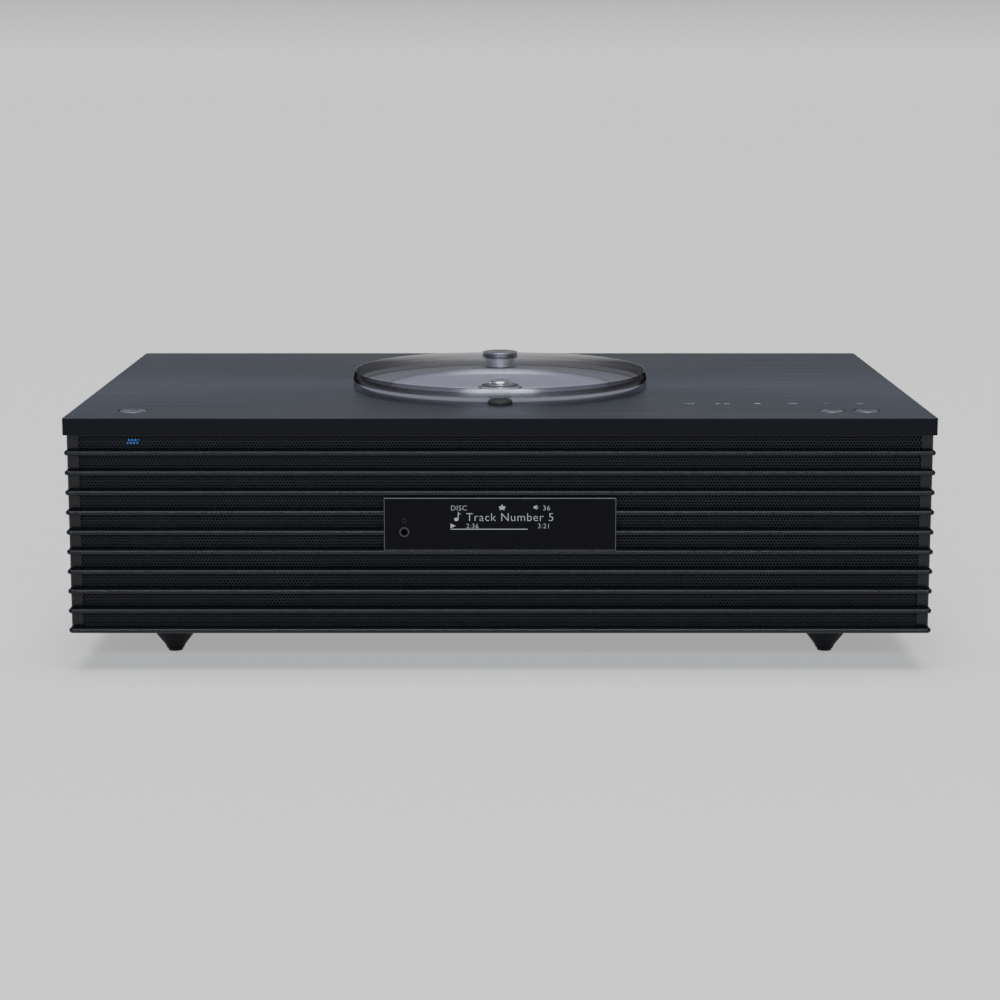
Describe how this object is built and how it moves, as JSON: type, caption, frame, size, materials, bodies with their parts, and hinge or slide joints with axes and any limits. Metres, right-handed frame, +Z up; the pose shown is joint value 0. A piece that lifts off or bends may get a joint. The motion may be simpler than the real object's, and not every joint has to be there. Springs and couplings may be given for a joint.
{
  "type": "mini hifi system",
  "caption": "Low wide one-box hifi with a louvred perforated front, central display window, brushed top panel and a round swivelling acrylic lid over a top-loading disc player on cone feet.",
  "frame": {"origin": "on the table under the middle of the body, at the feet's lowest level", "axes": "+Z up, +X to the right seen from the front, the front faces -Y"},
  "size_m": [0.45, 0.28, 0.143],
  "materials": {
    "panel_aluminium": "brushed, dark anodised",
    "frame_plastic": "satin black moulded",
    "grille_steel": "satin black perforated sheet",
    "window_acrylic": "glossy black",
    "lid_acrylic": "clear smoked",
    "polished_metal": "polished",
    "satin_metal": "satin spun",
    "well_silver": "silver satin",
    "steel_plate": "zinc plated",
    "cabinet_plastic": "textured black",
    "rubber_black": "matt",
    "paper_cone": "pressed paper",
    "magnet_iron": "black",
    "board_green": "circuit board with parts",
    "screw_steel": "black zinc",
    "rear_panel_steel": "satin black",
    "light_guide": "clear, lit blue"
  },
  "bodies": {
    "root": {"top_panel": "panel_aluminium", "louvre_frame": "frame_plastic", "front_grille": "grille_steel", "front_baffle": "cabinet_plastic", "bottom_plate": "cabinet_plastic", "rear_panel": "rear_panel_steel", "inlet_plate": "rear_panel_steel", "socket_plate": "rear_panel_steel", "case_screws": "screw_steel", "display_window": "window_acrylic", "display_module": "board_green", "headphone_jack": "polished_metal", "status_light": "light_guide", "foot_pads": "rubber_black", "disc_well": "well_silver", "spindle_motor": "steel_plate", "cd_chassis": "steel_plate", "chassis_dampers": "rubber_black", "guide_rods": "polished_metal", "feed_motor": "steel_plate", "hinge_bush": "satin_metal", "lid_stop": "rubber_black", "subwoofer_box": "cabinet_plastic", "ac_inlet": "cabinet_plastic", "lan_socket": "steel_plate", "usb_socket": "steel_plate", "antenna_terminals": "steel_plate", "main_board": "board_green", "power_board": "board_green", "power_key_board": "board_green", "volume_and_touch_key_board": "board_green", "foot_front_left": "frame_plastic", "foot_front_right": "frame_plastic", "foot_rear_left": "frame_plastic", "foot_rear_right": "frame_plastic", "subwoofer_frame": "magnet_iron", "subwoofer_surround": "rubber_black", "woofer_frame_left": "magnet_iron", "woofer_surround_left": "rubber_black", "woofer_frame_right": "magnet_iron", "woofer_surround_right": "rubber_black", "speaker_box_left": "cabinet_plastic", "speaker_box_right": "cabinet_plastic", "tweeter_left": "magnet_iron", "tweeter_right": "magnet_iron"},
    "lid": {"lid_disc": "lid_acrylic", "hinge_post": "polished_metal", "hinge_cap": "satin_metal", "hinge_clip": "steel_plate"},
    "power_key": {"power_button": "satin_metal"},
    "volume_down_key": {"volume_down_button": "satin_metal"},
    "volume_up_key": {"volume_up_button": "satin_metal"},
    "spindle": {"turntable": "polished_metal", "friction_ring": "rubber_black"},
    "pickup": {"pickup_sled": "satin_metal"},
    "lens": {"lens_holder": "cabinet_plastic"},
    "screw": {"feed_screw": "polished_metal"},
    "woofer_left": {"woofer_cone_left": "paper_cone"},
    "woofer_right": {"woofer_cone_right": "paper_cone"},
    "subwoofer": {"subwoofer_cone": "paper_cone"}
  },
  "joints": [
    {"name": "lid_swivel", "type": "hinge", "parent": "root", "child": "lid", "pos_m": [0, 0.0735, 0.134], "axis": [0, 0, 1], "range_deg": [0, 160]},
    {"name": "power_press", "type": "slide", "parent": "root", "child": "power_key", "axis": [0, 0, -1], "range_m": [0, 0.0008], "stiffness_N_per_m": 1500},
    {"name": "volume_down_press", "type": "slide", "parent": "root", "child": "volume_down_key", "axis": [0, 0, -1], "range_m": [0, 0.0008], "stiffness_N_per_m": 1500},
    {"name": "volume_up_press", "type": "slide", "parent": "root", "child": "volume_up_key", "axis": [0, 0, -1], "range_m": [0, 0.0008], "stiffness_N_per_m": 1500},
    {"name": "spindle_spin", "type": "hinge", "parent": "root", "child": "spindle", "pos_m": [0, 0, 0.13], "axis": [0, 0, 1], "continuous": true},
    {"name": "pickup_slide", "type": "slide", "parent": "root", "child": "pickup", "axis": [0, -1, 0], "range_m": [0, 0.033]},
    {"name": "lens_focus", "type": "slide", "parent": "pickup", "child": "lens", "axis": [0, 0, 1], "range_m": [-0.0005, 0.0005], "stiffness_N_per_m": 40},
    {"name": "feed_screw_spin", "type": "hinge", "parent": "root", "child": "screw", "pos_m": [-0.038, 0, 0.1125], "axis": [0, -1, 0], "range_deg": [-10, 3970]},
    {"name": "woofer_left_travel", "type": "slide", "parent": "root", "child": "woofer_left", "axis": [0, -1, 0], "range_m": [-0.003, 0.003], "stiffness_N_per_m": 900, "deforming": ["woofer_surround_left"]},
    {"name": "woofer_right_travel", "type": "slide", "parent": "root", "child": "woofer_right", "axis": [0, -1, 0], "range_m": [-0.003, 0.003], "stiffness_N_per_m": 900, "deforming": ["woofer_surround_right"]},
    {"name": "subwoofer_travel", "type": "slide", "parent": "root", "child": "subwoofer", "axis": [0, 0, -1], "range_m": [-0.004, 0.004], "stiffness_N_per_m": 1200, "deforming": ["subwoofer_surround"]}
  ],
  "couplings": [
    {"joint": "feed_screw_spin", "follows": "pickup_slide", "rad_per_m": 2094.4}
  ]
}
